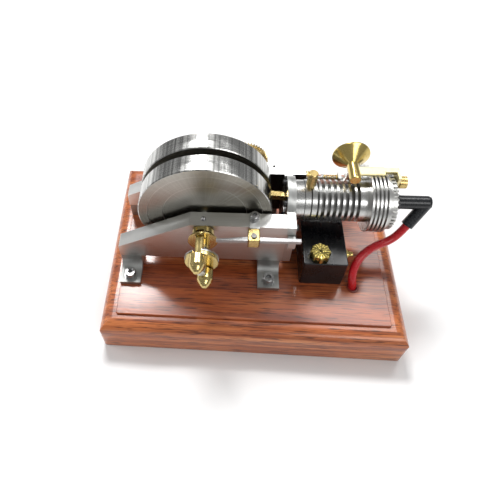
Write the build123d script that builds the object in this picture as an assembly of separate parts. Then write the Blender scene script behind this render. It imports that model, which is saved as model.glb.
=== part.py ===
from build123d import *
import math
import os

# Horizontal air-cooled hit-and-miss engine model on a wooden base, in millimetres.
# X runs along the engine (flywheels toward -X, cylinder head toward +X), Y runs from the
# governor side (-Y) to the timing gear side (+Y), Z is up.
# The origin is the centre of the underside of the wooden base.

# ---- driving dimensions -------------------------------------------------------------
BASE_LENGTH = 190.0
BASE_WIDTH = 138.0
BASE_TOP = 27.0             # top of the raised panel
ROUND_OVER = 8.0            # quarter-round moulding at the edge of the base
PANEL_STEP = 1.6            # height of the raised panel above the moulding
PANEL_MARGIN = 10.5         # panel edge to base edge

CENTRE_Y = 3.5              # vertical middle plane of the engine
CRANK_X = -30.0
AXIS_Z = 69.3               # crankshaft and cylinder axis height
CRANK_THROW = 11.0
CRANK_ANGLE = 34.0          # crank pin above the cylinder axis at rest, degrees
ROD_LENGTH = 75.5

FLYWHEEL_R = 41.0
FLYWHEEL_T = 12.2
FLYWHEEL_GAP = 5.0

PLATE_T = 10.0
PLATE_INNER = 16.0          # plate inner face from the middle plane
PLATE_LEFT = -85.0
PLATE_RIGHT = 19.3
REAR_PLATE_RIGHT = 33.0     # the rear plate runs on beside the cylinder
PLATE_BOTTOM = 39.0
PLATE_TOP = 74.5
CROSS_T = 5.0

BRACKET_W = 13.5
BRACKET_REACH = 15.0
BRACKET_T = 3.0
BRACKET_FILLET = 5.4
BRACKET_X = (PLATE_LEFT + 0.4, 4.6)
FOOT_SCREW_REACH = BRACKET_REACH * 0.5 + BRACKET_FILLET / 2 - 0.6

BORE_R = 8.0
FIN_R = 12.7
HEAD_R = 18.5
HEAD_X = 66.8

GEAR_MODULE = 0.6
PINION_TEETH = 26
GEAR_TEETH = 52
GEAR_FACE = 2.8

PLUG_LEAD_R = 2.5

# ---- derived places -----------------------------------------------------------------
FRONT_IN = CENTRE_Y - PLATE_INNER
FRONT_OUT = FRONT_IN - PLATE_T
REAR_IN = CENTRE_Y + PLATE_INNER
REAR_OUT = REAR_IN + PLATE_T
CROSS_RIGHT = PLATE_RIGHT + CROSS_T
DISC_IN = FLYWHEEL_GAP / 2
DISC_OUT = DISC_IN + FLYWHEEL_T
PIN_X = CRANK_X + CRANK_THROW * math.cos(math.radians(CRANK_ANGLE))
PIN_Z = AXIS_Z + CRANK_THROW * math.sin(math.radians(CRANK_ANGLE))
WRIST_X = PIN_X + math.sqrt(ROD_LENGTH ** 2 - (PIN_Z - AXIS_Z) ** 2)
CAM_X = CRANK_X + GEAR_MODULE * (PINION_TEETH + GEAR_TEETH) / 2
GEAR_Y = REAR_OUT + 4.1
LOW = (Align.CENTER, Align.CENTER, Align.MIN)

parts = {}


# ---- building blocks ----------------------------------------------------------------
def block(x0, x1, y0, y1, z0, z1):
    centre = Pos((x0 + x1) / 2, (y0 + y1) / 2, (z0 + z1) / 2)
    return centre * Box(x1 - x0, y1 - y0, z1 - z0)


def bar_x(x0, x1, y, z, r):
    return Pos(x0, y, z) * Rot(0, 90, 0) * Cylinder(r, x1 - x0, align=LOW)


def bar_y(y0, y1, x, z, r):
    return Pos(x, y0, z) * Rot(-90, 0, 0) * Cylinder(r, y1 - y0, align=LOW)


def bar_z(z0, z1, x, y, r):
    return Pos(x, y, z0) * Cylinder(r, z1 - z0, align=LOW)


def plate_xz(points, y0, y1):
    """Prism of an outline given in X and Z, between two depths."""
    face = make_face(Polyline([(x, y0, z) for x, z in points], close=True))
    return extrude(face, amount=y1 - y0, dir=(0, 1, 0))


def plate_xy(points, z0, z1):
    face = make_face(Polyline([(x, y, z0) for x, y in points], close=True))
    return extrude(face, amount=z1 - z0, dir=(0, 0, 1))


def turned_x(profile, y, z):
    """Solid of revolution about a line parallel to X, from (x, radius) points."""
    face = make_face(Polyline([(x, r, 0) for x, r in profile], close=True))
    return Pos(0, y, z) * revolve(face, Axis.X)


def turned_y(profile, x, z):
    """Solid of revolution about a line parallel to Y, from (y, radius) points."""
    face = make_face(Polyline([(r, y, 0) for y, r in profile], close=True))
    return Pos(x, 0, z) * revolve(face, Axis.Y)


def turned_z(profile, x, y):
    """Solid of revolution about a vertical line, from (z, radius) points."""
    face = make_face(Polyline([(r, 0, z) for z, r in profile], close=True))
    return Pos(x, y, 0) * revolve(face, Axis.Z)


def cap_screw(thread_r, length, head_r, head_h, socket_r):
    """Socket head cap screw standing on z = 0, thread downward."""
    body = bar_z(-length, 0, 0, 0, thread_r) + bar_z(0, head_h, 0, 0, head_r)
    body = chamfer(body.edges().filter_by(GeomType.CIRCLE).group_by(Axis.Z)[-1], 0.35)
    hexagon = extrude(Pos(0, 0, head_h - head_h * 0.55) * RegularPolygon(socket_r, 6), head_h)
    return body - hexagon


def spur_gear(teeth, module, face_width, bore_r):
    """Gear about Z standing on z = 0, with straight flanks."""
    root = module * (teeth / 2 - 1.2)
    tip = module * (teeth / 2 + 1)
    pitch = 2 * math.pi / teeth
    outline = []
    for i in range(teeth):
        for radius, turn in ((root, -0.31), (tip, -0.13), (tip, 0.13), (root, 0.31)):
            angle = (i + turn) * pitch
            outline.append((radius * math.cos(angle), radius * math.sin(angle)))
    gear = extrude(make_face(Polyline(outline, close=True)), face_width)
    return gear - Cylinder(bore_r, face_width, align=LOW)


def around_y(shape, x, z, angle):
    """Turn a shape about a line parallel to Y, positive from +Z toward +X."""
    return Pos(x, 0, z) * Rot(0, angle, 0) * Pos(-x, 0, -z) * shape


def save(name, shape):
    shape.label = name
    parts[name] = shape


def group(name, shapes):
    save(name, Compound(children=list(shapes)))


# ---- wooden base and what it holds --------------------------------------------------
POCKET = (34.0, 80.0, -48.0, 20.0, 15.0)    # ignition pocket: x0, x1, y0, y1, top
COVER_T = 3.5
COVER_LIP = 5.0
COVER_SEAT = 2.4           # depth of the counterbore under each screw head
MODULE_TOP = 13.5
LEAD_HOLE = (64.6, -33.0)
GROMMET_LOW = 18.0
GROMMET_R = 3.2
FOOT_SCREW_R = 2.0
SMALL_SCREW_R = 1.0
SMALL_SCREW_LENGTH = 8.0
COVER_SCREW_IN = 2.5


def moulded_face(half):
    """Cross-section of the base below the panel, with quarter-round upper edges."""
    edge_top = BASE_TOP - PANEL_STEP
    arc_mid = ROUND_OVER * (1 - math.sqrt(0.5))
    foot = (-half, 0)
    start = (-half, edge_top - ROUND_OVER)
    middle = (-half + arc_mid, edge_top - arc_mid)
    end = (-half + ROUND_OVER, edge_top)

    def mirrored(p):
        return (-p[0], p[1])
    lines = [
        Line(foot, start),
        ThreePointArc(start, middle, end),
        Line(end, mirrored(end)),
        ThreePointArc(mirrored(end), mirrored(middle), mirrored(start)),
        Line(mirrored(start), mirrored(foot)),
        Line(mirrored(foot), foot),
    ]
    return make_face(Wire(lines))


def foot_screw_places():
    for x in BRACKET_X:
        yield x + BRACKET_W / 2, FRONT_OUT - FOOT_SCREW_REACH
        yield x + BRACKET_W / 2, REAR_OUT + FOOT_SCREW_REACH


def cover_screw_places():
    x0, x1, y0, y1, _ = POCKET
    for x in (x0 - COVER_SCREW_IN, x1 + COVER_SCREW_IN):
        for y in (y0 - COVER_SCREW_IN, y1 + COVER_SCREW_IN):
            yield x, y


def wood_base():
    along_x = extrude(Plane.YZ * moulded_face(BASE_WIDTH / 2), BASE_LENGTH / 2, both=True)
    along_y = extrude(Plane.XZ * moulded_face(BASE_LENGTH / 2), BASE_WIDTH / 2, both=True)
    corners = extrude(RectangleRounded(BASE_LENGTH, BASE_WIDTH, 2.5), BASE_TOP)
    body = along_x & along_y & corners
    panel = block(-BASE_LENGTH / 2 + PANEL_MARGIN, BASE_LENGTH / 2 - PANEL_MARGIN,
                  -BASE_WIDTH / 2 + PANEL_MARGIN, BASE_WIDTH / 2 - PANEL_MARGIN,
                  BASE_TOP - PANEL_STEP - 1, BASE_TOP)
    panel = fillet(panel.edges().filter_by(Axis.Z), 1.2)
    panel = chamfer(panel.faces().sort_by(Axis.Z)[-1].edges(), 0.4)
    body = body + panel
    x0, x1, y0, y1, top = POCKET
    body -= block(x0, x1, y0, y1, -1, top)
    body -= block(x0 - COVER_LIP, x1 + COVER_LIP, y0 - COVER_LIP, y1 + COVER_LIP, -1, COVER_T)
    body -= bar_z(top - 1, GROMMET_LOW, *LEAD_HOLE, 4.0)
    body -= bar_z(GROMMET_LOW - 1, BASE_TOP + 1, *LEAD_HOLE, GROMMET_R)
    for x, y in foot_screw_places():
        body -= bar_z(BASE_TOP - 10, BASE_TOP + 1, x, y, FOOT_SCREW_R)
    for x, y in cover_screw_places():
        body -= bar_z(-1, COVER_SEAT + 8.2, x, y, SMALL_SCREW_R)
    return body


save("wood_base", wood_base())


def base_cover():
    x0, x1, y0, y1, _ = POCKET
    gap = 0.2
    plate = block(x0 - COVER_LIP + gap, x1 + COVER_LIP - gap, y0 - COVER_LIP + gap,
                  y1 + COVER_LIP - gap, 0.3, COVER_T)
    for x, y in cover_screw_places():
        plate -= bar_z(-1, COVER_T + 1, x, y, SMALL_SCREW_R + 0.1)
        plate -= bar_z(-1, COVER_SEAT, x, y, 2.1)
    return plate


save("base_cover", base_cover())


def ignition_module():
    body = block(38, 76, -42, 12, COVER_T, MODULE_TOP)
    body = fillet(body.edges().filter_by(Axis.Z), 2.0)
    tower = bar_z(MODULE_TOP, MODULE_TOP + 3.0, *LEAD_HOLE, 3.6)
    return body + tower - bar_z(MODULE_TOP - 2, MODULE_TOP + 4, *LEAD_HOLE, PLUG_LEAD_R)


save("ignition_module", ignition_module())


def lead_grommet():
    body = bar_z(GROMMET_LOW, BASE_TOP, *LEAD_HOLE, GROMMET_R)
    body += bar_z(BASE_TOP, BASE_TOP + 0.5, *LEAD_HOLE, GROMMET_R + 0.6)
    return body - bar_z(16, BASE_TOP + 2, *LEAD_HOLE, PLUG_LEAD_R)


save("lead_grommet", lead_grommet())

# ---- engine frame -------------------------------------------------------------------
PLATE_NOSE = 9.8            # height of the plate at its left end
SLOPE_END_X = -38.2
BUSH_R = 4.0
SHAFT_R = 2.5
OIL_PLUG_X = CRANK_X


def side_plate(y0, y1, right):
    outline = [
        (PLATE_LEFT, PLATE_BOTTOM), (right, PLATE_BOTTOM), (right, PLATE_TOP),
        (SLOPE_END_X, PLATE_TOP), (PLATE_LEFT, PLATE_BOTTOM + PLATE_NOSE),
    ]
    plate = plate_xz(outline, y0, y1)
    plate = chamfer(plate.edges().filter_by(Axis.Y), 0.3)
    plate -= bar_y(y0, y1, CRANK_X, AXIS_Z, BUSH_R)
    plate -= bar_z(PLATE_TOP - 0.9, PLATE_TOP + 1, OIL_PLUG_X, (y0 + y1) / 2, 0.8)
    return plate


LATCH_SCREW_X = 0.0
LATCH_SCREW_Y = -16.6
EDGE_SCREW_Z = (PLATE_BOTTOM + 8, PLATE_TOP - 6)
CROSS_MIDDLE = PLATE_RIGHT + CROSS_T / 2
REAR_SCREW_SEAT = REAR_OUT - 5.0   # the rear screws are sunk into the plate


def front_side_plate():
    plate = side_plate(FRONT_OUT, FRONT_IN, PLATE_RIGHT)
    plate -= bar_z(PLATE_TOP - 8, PLATE_TOP + 1, LATCH_SCREW_X, LATCH_SCREW_Y, 1.5)
    for z in EDGE_SCREW_Z:
        plate -= bar_x(PLATE_RIGHT - 4, PLATE_RIGHT + 1, FRONT_OUT + PLATE_T / 2, z, SMALL_SCREW_R)
    return plate


def rear_side_plate():
    plate = side_plate(REAR_IN, REAR_OUT, REAR_PLATE_RIGHT)
    for z in EDGE_SCREW_Z:
        plate -= bar_y(REAR_IN - 1, REAR_OUT, CROSS_MIDDLE, z, SMALL_SCREW_R)
        plate -= bar_y(REAR_SCREW_SEAT, REAR_OUT + 1, CROSS_MIDDLE, z, 2.1)
    plate -= bar_z(PLATE_TOP - 5, PLATE_TOP + 1, 13.0, 26.2, 0.9)
    plate -= bar_y(REAR_IN, REAR_OUT, CAM_X, AXIS_Z, 2.0)
    return plate


save("front_side_plate", front_side_plate())
save("rear_side_plate", rear_side_plate())

ARCH_R = 14.7
SPIGOT_R = 9.2
CYLINDER_BOLT_R = 10.5     # bolt circle of the cylinder on the cross plate
HEAD_BOLT_R = 11.4
BOLT_ANGLES = (55, 145, 235, 325)


def ring_places(radius, angles):
    for angle in angles:
        a = math.radians(angle)
        yield CENTRE_Y + radius * math.cos(a), AXIS_Z + radius * math.sin(a)


def cross_plate():
    plate = block(PLATE_RIGHT, CROSS_RIGHT, FRONT_OUT, REAR_IN, PLATE_BOTTOM, PLATE_TOP)
    plate += bar_x(PLATE_RIGHT, CROSS_RIGHT, CENTRE_Y, AXIS_Z, ARCH_R)
    plate -= bar_x(PLATE_RIGHT - 1, CROSS_RIGHT + 1, CENTRE_Y, AXIS_Z, SPIGOT_R)
    for y, z in ring_places(CYLINDER_BOLT_R, BOLT_ANGLES):
        plate -= bar_x(PLATE_RIGHT - 1, CROSS_RIGHT + 1, y, z, SMALL_SCREW_R)
    for z in EDGE_SCREW_Z:
        plate -= bar_x(PLATE_RIGHT - 1, CROSS_RIGHT + 1, FRONT_OUT + PLATE_T / 2, z, SMALL_SCREW_R)
        plate -= bar_y(REAR_SCREW_SEAT - SMALL_SCREW_LENGTH, REAR_IN + 1, CROSS_MIDDLE, z, SMALL_SCREW_R)
    return plate


save("cross_plate", cross_plate())


def foot_bracket(x, side):
    """Angle foot under a side plate; side is -1 at the front and +1 at the rear."""
    wall = FRONT_OUT if side < 0 else REAR_OUT
    inner = wall - side * (PLATE_T - 0.4)
    toe = wall + side * BRACKET_REACH
    top = BASE_TOP + BRACKET_T
    r = BRACKET_FILLET
    profile = [
        Line((inner, BASE_TOP), (toe, BASE_TOP)), Line((toe, BASE_TOP), (toe, top)),
        Line((toe, top), (wall + side * r, top)),
        ThreePointArc((wall + side * r, top),
                      (wall + side * r * (1 - math.sqrt(0.5)), top + r * (1 - math.sqrt(0.5))),
                      (wall, top + r)),
        Line((wall, top + r), (wall, PLATE_BOTTOM)), Line((wall, PLATE_BOTTOM), (inner, PLATE_BOTTOM)),
        Line((inner, PLATE_BOTTOM), (inner, BASE_TOP)),
    ]
    body = Pos(x, 0, 0) * extrude(Plane.YZ * make_face(Wire(profile)), BRACKET_W)
    screw_x = x + BRACKET_W / 2
    screw_y = wall + side * FOOT_SCREW_REACH
    return body - bar_z(BASE_TOP - 1, top + 1, screw_x, screw_y, FOOT_SCREW_R + 0.25)


group("feet", [foot_bracket(x, side) for side in (-1, 1) for x in BRACKET_X])

WASHER_T = 0.8
group("foot_washers",
      [Pos(x, y, BASE_TOP + BRACKET_T) * (bar_z(0, WASHER_T, 0, 0, 4.2) - bar_z(-1, 2, 0, 0, FOOT_SCREW_R + 0.1))
       for x, y in foot_screw_places()])
foot_screw = cap_screw(FOOT_SCREW_R, 12.5, 3.5, 4.0, 1.75)
group("foot_screws", [Pos(x, y, BASE_TOP + BRACKET_T + WASHER_T) * foot_screw for x, y in foot_screw_places()])

small_screw = cap_screw(SMALL_SCREW_R, SMALL_SCREW_LENGTH, 1.9, 2.0, 0.95)


def small_screws():
    """M2 cap screws of the cross plate, the cylinder, the head and the base cover."""
    for z in EDGE_SCREW_Z:
        yield Pos(CROSS_RIGHT, FRONT_OUT + PLATE_T / 2, z) * Rot(0, 90, 0) * small_screw
        yield Pos(CROSS_MIDDLE, REAR_SCREW_SEAT, z) * Rot(-90, 0, 0) * small_screw
    for y, z in ring_places(CYLINDER_BOLT_R, BOLT_ANGLES):
        yield Pos(PLATE_RIGHT, y, z) * Rot(0, -90, 0) * small_screw
    for y, z in ring_places(HEAD_BOLT_R, HEAD_BOLT_ANGLES):
        yield Pos(RING_END, y, z) * Rot(0, 90, 0) * small_screw
    for x, y in cover_screw_places():
        yield Pos(x, y, COVER_SEAT) * Rot(180, 0, 0) * small_screw


group("oil_plugs",
      [Pos(OIL_PLUG_X, y, PLATE_TOP) * (bar_z(-0.8, 0.2, 0, 0, 0.7) + Pos(0, 0, 0.2) * (Sphere(1.5) & block(
          -2, 2, -2, 2, 0, 2))) for y in (FRONT_OUT + PLATE_T / 2, REAR_IN + PLATE_T / 2)])


def bush(y0, y1, flange_y):
    body = bar_y(y0, y1, CRANK_X, AXIS_Z, BUSH_R) + bar_y(flange_y, flange_y + 0.8, CRANK_X, AXIS_Z, BUSH_R + 1)
    return body - bar_y(y0 - 2, y1 + 2, CRANK_X, AXIS_Z, SHAFT_R + 0.03)


group("crank_bushes", [bush(FRONT_OUT, FRONT_IN, FRONT_OUT - 0.8), bush(REAR_IN, REAR_OUT, REAR_OUT)])

# ---- flywheels and crank ------------------------------------------------------------
FACE_STEP_R = 35.0
HUB_STEP_R = 25.5
FACE_STEP = 0.7


def flywheel(side):
    """One crank disc; side is -1 for the front disc and +1 for the rear one."""
    y_in = CENTRE_Y + side * DISC_IN
    y_out = CENTRE_Y + side * DISC_OUT
    soft = 0.5
    profile = [
        (y_in, 0), (y_in, FLYWHEEL_R - soft), (y_in + side * soft, FLYWHEEL_R),
        (y_out - side * soft, FLYWHEEL_R), (y_out, FLYWHEEL_R - soft), (y_out, FACE_STEP_R + 0.4),
        (y_out - side * FACE_STEP, FACE_STEP_R), (y_out - side * FACE_STEP, HUB_STEP_R + 0.4),
        (y_out - side * 2 * FACE_STEP, HUB_STEP_R), (y_out - side * 2 * FACE_STEP, 0),
    ]
    disc = turned_y(profile, CRANK_X, AXIS_Z)
    low, high = sorted((y_in + side * 2.0, y_out + side))
    return disc - bar_y(low, high, CRANK_X, AXIS_Z, SHAFT_R)


save("front_flywheel", flywheel(-1))
save("rear_flywheel", flywheel(1))

NOSE_TIP = -52.0
STUB_STEP = GEAR_Y + GEAR_FACE
STUB_END_R = 2.0
STUB_END_LENGTH = 4.0


def rear_stub():
    body = bar_y(CENTRE_Y + DISC_IN + 2.0, STUB_STEP, CRANK_X, AXIS_Z, SHAFT_R)
    return body + bar_y(STUB_STEP, STUB_STEP + STUB_END_LENGTH, CRANK_X, AXIS_Z, STUB_END_R)


group("crank_stubs", [bar_y(NOSE_TIP, CENTRE_Y - DISC_IN - 2.0, CRANK_X, AXIS_Z, SHAFT_R), rear_stub()])

pinion = spur_gear(PINION_TEETH, GEAR_MODULE, GEAR_FACE, SHAFT_R)
save("timing_pinion", Pos(CRANK_X, GEAR_Y, AXIS_Z) * Rot(-90, 0, 0) * pinion)

# ---- cam shaft ----------------------------------------------------------------------
CAM_SHAFT_R = 2.0
CAM_LOBE_Y = REAR_OUT + 0.5
CAM_LOBE_T = 3.2
CAM_BASE_R = 5.0
CAM_LIFT = 1.2


def cam_gear():
    gear = spur_gear(GEAR_TEETH, GEAR_MODULE, GEAR_FACE, CAM_SHAFT_R)
    for i in range(6):
        a = 2 * math.pi * i / 6
        gear -= Pos(9.6 * math.cos(a), 9.6 * math.sin(a), 0) * Cylinder(2.6, 3 * GEAR_FACE)
    gear = Rot(0, 0, 180 / GEAR_TEETH) * gear
    return Pos(CAM_X, GEAR_Y, AXIS_Z) * Rot(-90, 0, 0) * gear


save("cam_gear", cam_gear())


def cam_shaft():
    """Shaft with the exhaust cam in one piece; the cam nose points away from the pushrod."""
    lobe_end = CAM_LOBE_Y + CAM_LOBE_T
    nose_r = 2.6
    reach = CAM_BASE_R + CAM_LIFT - nose_r
    shaft = bar_y(REAR_IN, GEAR_Y + GEAR_FACE + 1.2, CAM_X, AXIS_Z, CAM_SHAFT_R - 0.05)
    seat = bar_y(GEAR_Y, GEAR_Y + GEAR_FACE, CAM_X, AXIS_Z, CAM_SHAFT_R)
    lobe = bar_y(CAM_LOBE_Y, lobe_end, CAM_X, AXIS_Z, CAM_BASE_R)
    nose = bar_y(CAM_LOBE_Y, lobe_end, CAM_X - reach, AXIS_Z, nose_r)
    lean = math.asin((CAM_BASE_R - nose_r) / reach)
    near = (CAM_X - CAM_BASE_R * math.sin(lean), CAM_BASE_R * math.cos(lean))
    far = (CAM_X - reach - nose_r * math.sin(lean), nose_r * math.cos(lean))
    flank = plate_xz([(near[0], AXIS_Z - near[1]), (near[0], AXIS_Z + near[1]),
                      (far[0], AXIS_Z + far[1]), (far[0], AXIS_Z - far[1])], CAM_LOBE_Y, lobe_end)
    return shaft + seat + lobe + nose + flank


save("cam_shaft", cam_shaft())

# ---- cylinder and head --------------------------------------------------------------
NECK_END = 29.6
NECK_R = 12.4
FIN_ROOT_R = 10.0
WIDE_FINS = ((29.9, 33.2), (34.0, 36.8))
FIN_START = 38.0
FIN_PITCH = 3.4
FIN_T = 1.3
FIN_COUNT = 7
COLLAR_X = 61.6
OIL_CUP_X = 32.8


def cylinder():
    body = bar_x(CROSS_RIGHT, HEAD_X, CENTRE_Y, AXIS_Z, FIN_ROOT_R)
    body += bar_x(PLATE_RIGHT + 0.2, CROSS_RIGHT, CENTRE_Y, AXIS_Z, SPIGOT_R)
    body += bar_x(CROSS_RIGHT, NECK_END, CENTRE_Y, AXIS_Z, NECK_R)
    body += bar_x(COLLAR_X, HEAD_X, CENTRE_Y, AXIS_Z, FIN_R)
    for x0, x1 in WIDE_FINS:
        body += bar_x(x0, x1, CENTRE_Y, AXIS_Z, FIN_R)
    for i in range(FIN_COUNT):
        x0 = FIN_START + i * FIN_PITCH
        body += bar_x(x0, x0 + FIN_T, CENTRE_Y, AXIS_Z, FIN_R)
    body -= bar_x(PLATE_RIGHT, HEAD_X + 1, CENTRE_Y, AXIS_Z, BORE_R)
    body -= bar_z(AXIS_Z + BORE_R - 1, AXIS_Z + FIN_R + 1, OIL_CUP_X, CENTRE_Y, 1.5)
    for y, z in ring_places(CYLINDER_BOLT_R, BOLT_ANGLES):
        body -= bar_x(CROSS_RIGHT - 1, NECK_END - 2.0, y, z, SMALL_SCREW_R)
    return body


save("cylinder", cylinder())

HEAD_FINS = 5
HEAD_FIN_PITCH = 2.25
HEAD_FIN_T = 1.1
HEAD_END = 77.2
RING_END = 82.0
RING_R = 16.6
HEAD_CORE_R = 14.5
CHAMBER_DEPTH = 6.8
PLUG_R = 3.0
VALVE_X = HEAD_X + 4.4
VALVE_Z = AXIS_Z
VALVE_STEM_R = 1.0
VALVE_CAGE_R = 4.2
VALVE_CAGE_END = CENTRE_Y + HEAD_R + 0.2
HEAD_BOLT_ANGLES = (45, 135, 225, 315)
NOTCHES = 36


def cylinder_head():
    body = bar_x(HEAD_X, HEAD_END, CENTRE_Y, AXIS_Z, HEAD_CORE_R)
    for i in range(HEAD_FINS):
        x0 = HEAD_X + i * HEAD_FIN_PITCH
        body += bar_x(x0, x0 + HEAD_FIN_T, CENTRE_Y, AXIS_Z, HEAD_R)
    body -= bar_x(HEAD_X - 1, HEAD_X + CHAMBER_DEPTH, CENTRE_Y, AXIS_Z, BORE_R)
    body -= bar_x(HEAD_X, RING_END, CENTRE_Y, AXIS_Z, PLUG_R)
    body += bar_y(CENTRE_Y + BORE_R, VALVE_CAGE_END, VALVE_X, VALVE_Z, VALVE_CAGE_R)
    body -= bar_y(CENTRE_Y + BORE_R - 2, VALVE_CAGE_END + 1, VALVE_X, VALVE_Z, VALVE_STEM_R + 0.05)
    for y, z in ring_places(HEAD_BOLT_R, HEAD_BOLT_ANGLES):
        body -= bar_x(HEAD_X - 1, RING_END, y, z, SMALL_SCREW_R)
    return body


def head_ring():
    body = turned_x([(HEAD_END, 0), (HEAD_END, RING_R), (RING_END - 0.8, RING_R),
                     (RING_END, RING_R - 0.8), (RING_END, 0)], CENTRE_Y, AXIS_Z)
    body -= bar_x(HEAD_END, RING_END, CENTRE_Y, AXIS_Z, PLUG_R + 2.2)
    for y, z in ring_places(HEAD_BOLT_R, HEAD_BOLT_ANGLES):
        body -= bar_x(HEAD_END - 1, RING_END + 1, y, z, SMALL_SCREW_R)
    notch = block(HEAD_END + 1.6, RING_END + 1, -0.75, 0.75, RING_R - 2.4, RING_R + 1)
    for i in range(NOTCHES):
        body -= Pos(0, CENTRE_Y, AXIS_Z) * Rot(360 / NOTCHES * i, 0, 0) * notch
    return body


save("cylinder_head", cylinder_head())
save("head_ring", head_ring())

group("small_screws", small_screws())

# ---- spark plug, boot and lead ------------------------------------------------------
BOOT_R = 4.2
BOOT_LEG_R = 3.7
BOOT_MOUTH = 83.4
BOOT_CORNER = (103.6, CENTRE_Y, AXIS_Z)
BOOT_HEEL = 2.4             # end of the boot beyond its corner
LEAD_ROUTE = [
    (94.0, -4.6, 56.7), (90.0, -8.0, 51.3), (84.0, -10.8, 47.6), (77.1, -13.5, 46.9), (71.1, -17.7, 47.1),
    (66.0, -22.0, 44.4), (63.1, -26.6, 39.9), (62.8, -30.7, 34.1), (*LEAD_HOLE, 27.6), (*LEAD_HOLE, MODULE_TOP),
]


def spark_plug():
    body = turned_x([(HEAD_X + CHAMBER_DEPTH, 0), (HEAD_X + CHAMBER_DEPTH, PLUG_R), (HEAD_END + 0.3, PLUG_R),
                     (HEAD_END + 0.3, 4.4), (RING_END - 1.5, 4.4), (RING_END - 1.5, 2.6), (90.0, 2.3),
                     (90.5, 1.4), (96.0, 1.4), (96.0, 0)], CENTRE_Y, AXIS_Z)
    return body + block(HEAD_X + 1.2, HEAD_X + CHAMBER_DEPTH, CENTRE_Y - 0.5, CENTRE_Y + 0.5,
                        AXIS_Z + PLUG_R - 1, AXIS_Z + PLUG_R)


save("spark_plug", spark_plug())


def plug_boot():
    """Right-angle rubber boot: a mouth over the plug and a leg that grips the lead."""
    leg_end = Vector(*LEAD_ROUTE[0])
    corner = Vector(*BOOT_CORNER)
    leg = leg_end - corner
    heel = corner.X + BOOT_HEEL
    body = turned_x([(BOOT_MOUTH, 0), (BOOT_MOUTH, BOOT_R), (heel - 2.0, BOOT_R), (heel - 0.6, BOOT_R - 0.6),
                     (heel, BOOT_R - 2.0), (heel, 0)], CENTRE_Y, AXIS_Z)
    body += Plane(origin=corner, z_dir=leg) * Cylinder(BOOT_LEG_R, leg.length, align=LOW)
    for i in range(2):
        rib = BOOT_MOUTH + 2.6 * i
        body += bar_x(rib, rib + 1.2, CENTRE_Y, AXIS_Z, BOOT_R + 0.35)
    return body - turned_x([(83.0, 0), (83.0, 2.75), (90.2, 2.75), (90.7, 1.5), (96.1, 1.5), (96.1, 0)],
                           CENTRE_Y, AXIS_Z)


save("plug_boot", plug_boot())


def ht_lead():
    points = [Vector(*p) for p in LEAD_ROUTE]
    radii = []
    for before, here, after in zip(points, points[1:], points[2:]):
        turn = (here - before).get_angle(after - here)
        shorter = min((here - before).length, (after - here).length)
        radii.append(0.45 * shorter / math.tan(math.radians(turn / 2)))
    print("lead radii", [round(r, 1) for r in radii])
    print("lead runs", [round((b - a).length, 1) for a, b in zip(points, points[1:])])
    path = FilletPolyline(*points, radius=radii)
    section = Plane(origin=points[0], z_dir=points[1] - points[0]) * Circle(PLUG_LEAD_R)
    tube = sweep(section, path)
    print("lead length", round(path.length, 1), "volume ratio",
          round(tube.volume / (math.pi * PLUG_LEAD_R ** 2 * path.length), 4))
    return tube


save("ht_lead", ht_lead())

# ---- fuel tank ----------------------------------------------------------------------
TANK = (31.2, 57.6, -31.0, 8.0, BASE_TOP, 50.0)
TANK_WALL = 1.6
TANK_CAP = (41.0, -24.5)
CAP_R = 6.1
CAP_H = 4.6


def fuel_tank():
    x0, x1, y0, y1, z0, z1 = TANK
    body = block(*TANK)
    body = fillet(body.edges().filter_by(Axis.Z), 1.2)
    body = fillet(body.faces().sort_by(Axis.Z)[-1].edges(), 0.6)
    body -= block(x0 + TANK_WALL, x1 - TANK_WALL, y0 + TANK_WALL, y1 - TANK_WALL, z0 + TANK_WALL, z1 - TANK_WALL)
    body += bar_z(z1 - TANK_WALL, z1 + 2.6, *TANK_CAP, 4.2)
    body -= bar_z(z1 - 4, z1 + 4, *TANK_CAP, 3.0)
    return body - bar_x(x1 - 3, x1 + 1, -20.0, 45.6, 1.2)


save("fuel_tank", fuel_tank())


def tank_cap():
    z = TANK[5] + 0.3
    body = bar_z(z, z + CAP_H, *TANK_CAP, CAP_R)
    body = chamfer(body.edges().filter_by(GeomType.CIRCLE).group_by(Axis.Z)[-1], 0.7)
    body -= bar_z(z - 1, z + CAP_H - 1.4, *TANK_CAP, 4.3)
    body -= bar_z(z, z + 9, *TANK_CAP, 0.6)
    flutes = 8
    for i in range(flutes):
        a = 2 * math.pi * (i + 0.5) / flutes
        body -= bar_z(z - 1, z + CAP_H + 1, TANK_CAP[0] + (CAP_R + 0.45) * math.cos(a),
                      TANK_CAP[1] + (CAP_R + 0.45) * math.sin(a), 1.4)
    return body


save("tank_cap", tank_cap())


def tank_outlet():
    y, z, x = -20.0, 45.6, TANK[1]
    body = turned_x([(x - TANK_WALL, 0), (x - TANK_WALL, 1.2), (x, 1.2), (x, 2.8), (x + 1.4, 2.8), (x + 1.4, 1.7),
                     (x + 2.2, 1.7), (x + 2.2, 2.1), (x + 3.2, 1.7), (x + 4.4, 1.5), (x + 4.4, 0)], y, z)
    return body - bar_x(x - 3, x + 9, y, z, 0.7)


save("tank_outlet", tank_outlet())

# ---- carburettor --------------------------------------------------------------------
CARB = (59.6, 75.0, 7.5, 14.0, 82.6, 89.0)
BARREL_X = 57.0
BARREL_Z = 89.5
BARREL_R = 3.3
BARREL_ENDS = (2.1, 13.9)
BELL_BACK = 11.9
NECK_OUT_R = 2.2
NEEDLE_Y = 8.0
NEEDLE_Z = 82.3
NEEDLE_ARM = (82.3, 83.9)


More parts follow.
